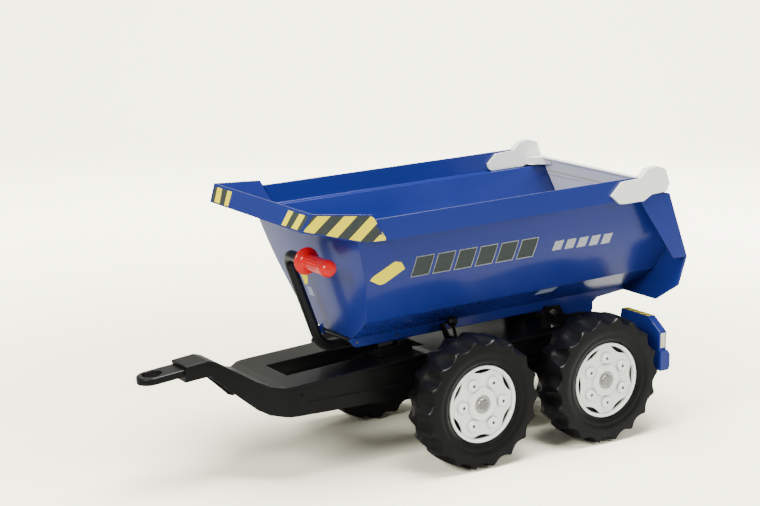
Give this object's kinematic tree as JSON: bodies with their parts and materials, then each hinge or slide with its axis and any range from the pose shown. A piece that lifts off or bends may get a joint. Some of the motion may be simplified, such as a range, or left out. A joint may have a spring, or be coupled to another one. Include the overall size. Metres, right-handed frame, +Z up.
{
  "type": "toy tipping trailer",
  "caption": "Child's ride-on tipping trailer: tandem axle, half-pipe trough, swinging tailgate, drawbar eye.",
  "frame": {"origin": "on the ground, under the centre of the whole trailer's box, drawbar included", "axes": "+X forward to the drawbar eye, +Y to the trailer's left, +Z up"},
  "size_m": [1.0318, 0.425, 0.5061],
  "materials": {
    "black_plastic": "satin moulded",
    "blue_plastic": "gloss moulded",
    "white_plastic": "semi-gloss moulded",
    "red_plastic": "gloss moulded",
    "pale_reflector": "gloss",
    "tyre": "satin moulded",
    "pad_rubber": "matte",
    "nylon": "matte",
    "steel": "zinc plated",
    "black_steel": "black powder coat"
  },
  "bodies": {
    "chassis": {"chassis_frame": "black_plastic", "drawbar_eye": "black_plastic", "drawbar_bolt": "steel", "rear_bumper": "blue_plastic", "bumper_bolts": "steel", "bracket_screws": "steel", "bracket_tie_bolt": "steel", "tip_hinge_pin": "steel", "hinge_pin_caps": "steel", "latch_post": "black_plastic", "hinge_bracket_left": "black_steel", "hinge_bracket_right": "black_steel", "rest_block_left": "black_plastic", "rest_block_right": "black_plastic", "rest_pad_left": "pad_rubber", "rest_pad_right": "pad_rubber", "reflector_left": "pale_reflector", "reflector_right": "pale_reflector", "front_axle": "steel", "rear_axle": "steel", "axle_bush_front_left": "nylon", "axle_cap_front_left": "steel", "axle_bush_front_right": "nylon", "axle_cap_front_right": "steel", "axle_bush_rear_left": "nylon", "axle_cap_rear_left": "steel", "axle_bush_rear_right": "nylon", "axle_cap_rear_right": "steel"},
    "trough": {"trough_shell": "blue_plastic", "rail_left": "blue_plastic", "rail_right": "blue_plastic", "rail_screws": "steel", "handle_tube": "black_steel", "handle_grip": "red_plastic", "handle_bolts": "steel", "latch_stud": "steel"},
    "tailgate": {"tailgate": "white_plastic", "tailgate_pin_left": "steel", "tailgate_pin_right": "steel"},
    "latch": {"latch_lever": "black_plastic", "latch_knob": "black_plastic"},
    "wheel_front_left": {"tyre_front_left": "tyre", "wheel_rim_front_left": "black_plastic", "wheel_disc_front_left": "white_plastic", "hub_sleeve_front_left": "nylon"},
    "wheel_front_right": {"tyre_front_right": "tyre", "wheel_rim_front_right": "black_plastic", "wheel_disc_front_right": "white_plastic", "hub_sleeve_front_right": "nylon"},
    "wheel_rear_left": {"tyre_rear_left": "tyre", "wheel_rim_rear_left": "black_plastic", "wheel_disc_rear_left": "white_plastic", "hub_sleeve_rear_left": "nylon"},
    "wheel_rear_right": {"tyre_rear_right": "tyre", "wheel_rim_rear_right": "black_plastic", "wheel_disc_rear_right": "white_plastic", "hub_sleeve_rear_right": "nylon"}
  },
  "joints": [
    {"name": "wheel_front_left_spin", "type": "hinge", "parent": "chassis", "child": "wheel_front_left", "pos_m": [-0.0477, 0, 0.12], "axis": [0, 1, 0], "continuous": true},
    {"name": "wheel_front_right_spin", "type": "hinge", "parent": "chassis", "child": "wheel_front_right", "pos_m": [-0.0477, 0, 0.12], "axis": [0, 1, 0], "continuous": true},
    {"name": "wheel_rear_left_spin", "type": "hinge", "parent": "chassis", "child": "wheel_rear_left", "pos_m": [-0.3231, 0, 0.12], "axis": [0, 1, 0], "continuous": true},
    {"name": "wheel_rear_right_spin", "type": "hinge", "parent": "chassis", "child": "wheel_rear_right", "pos_m": [-0.3231, 0, 0.12], "axis": [0, 1, 0], "continuous": true},
    {"name": "tip", "type": "hinge", "parent": "chassis", "child": "trough", "pos_m": [-0.3704, 0, 0.198], "axis": [0, -1, 0], "range_deg": [0, 35]},
    {"name": "tailgate_swing", "type": "hinge", "parent": "trough", "child": "tailgate", "pos_m": [-0.34549, 0, 0.46418], "axis": [0, 1, 0], "range_deg": [0, 70]},
    {"name": "latch_turn", "type": "hinge", "parent": "chassis", "child": "latch", "pos_m": [-0.0704, 0, 0.201], "axis": [0, -1, 0], "range_deg": [0, 22]}
  ]
}
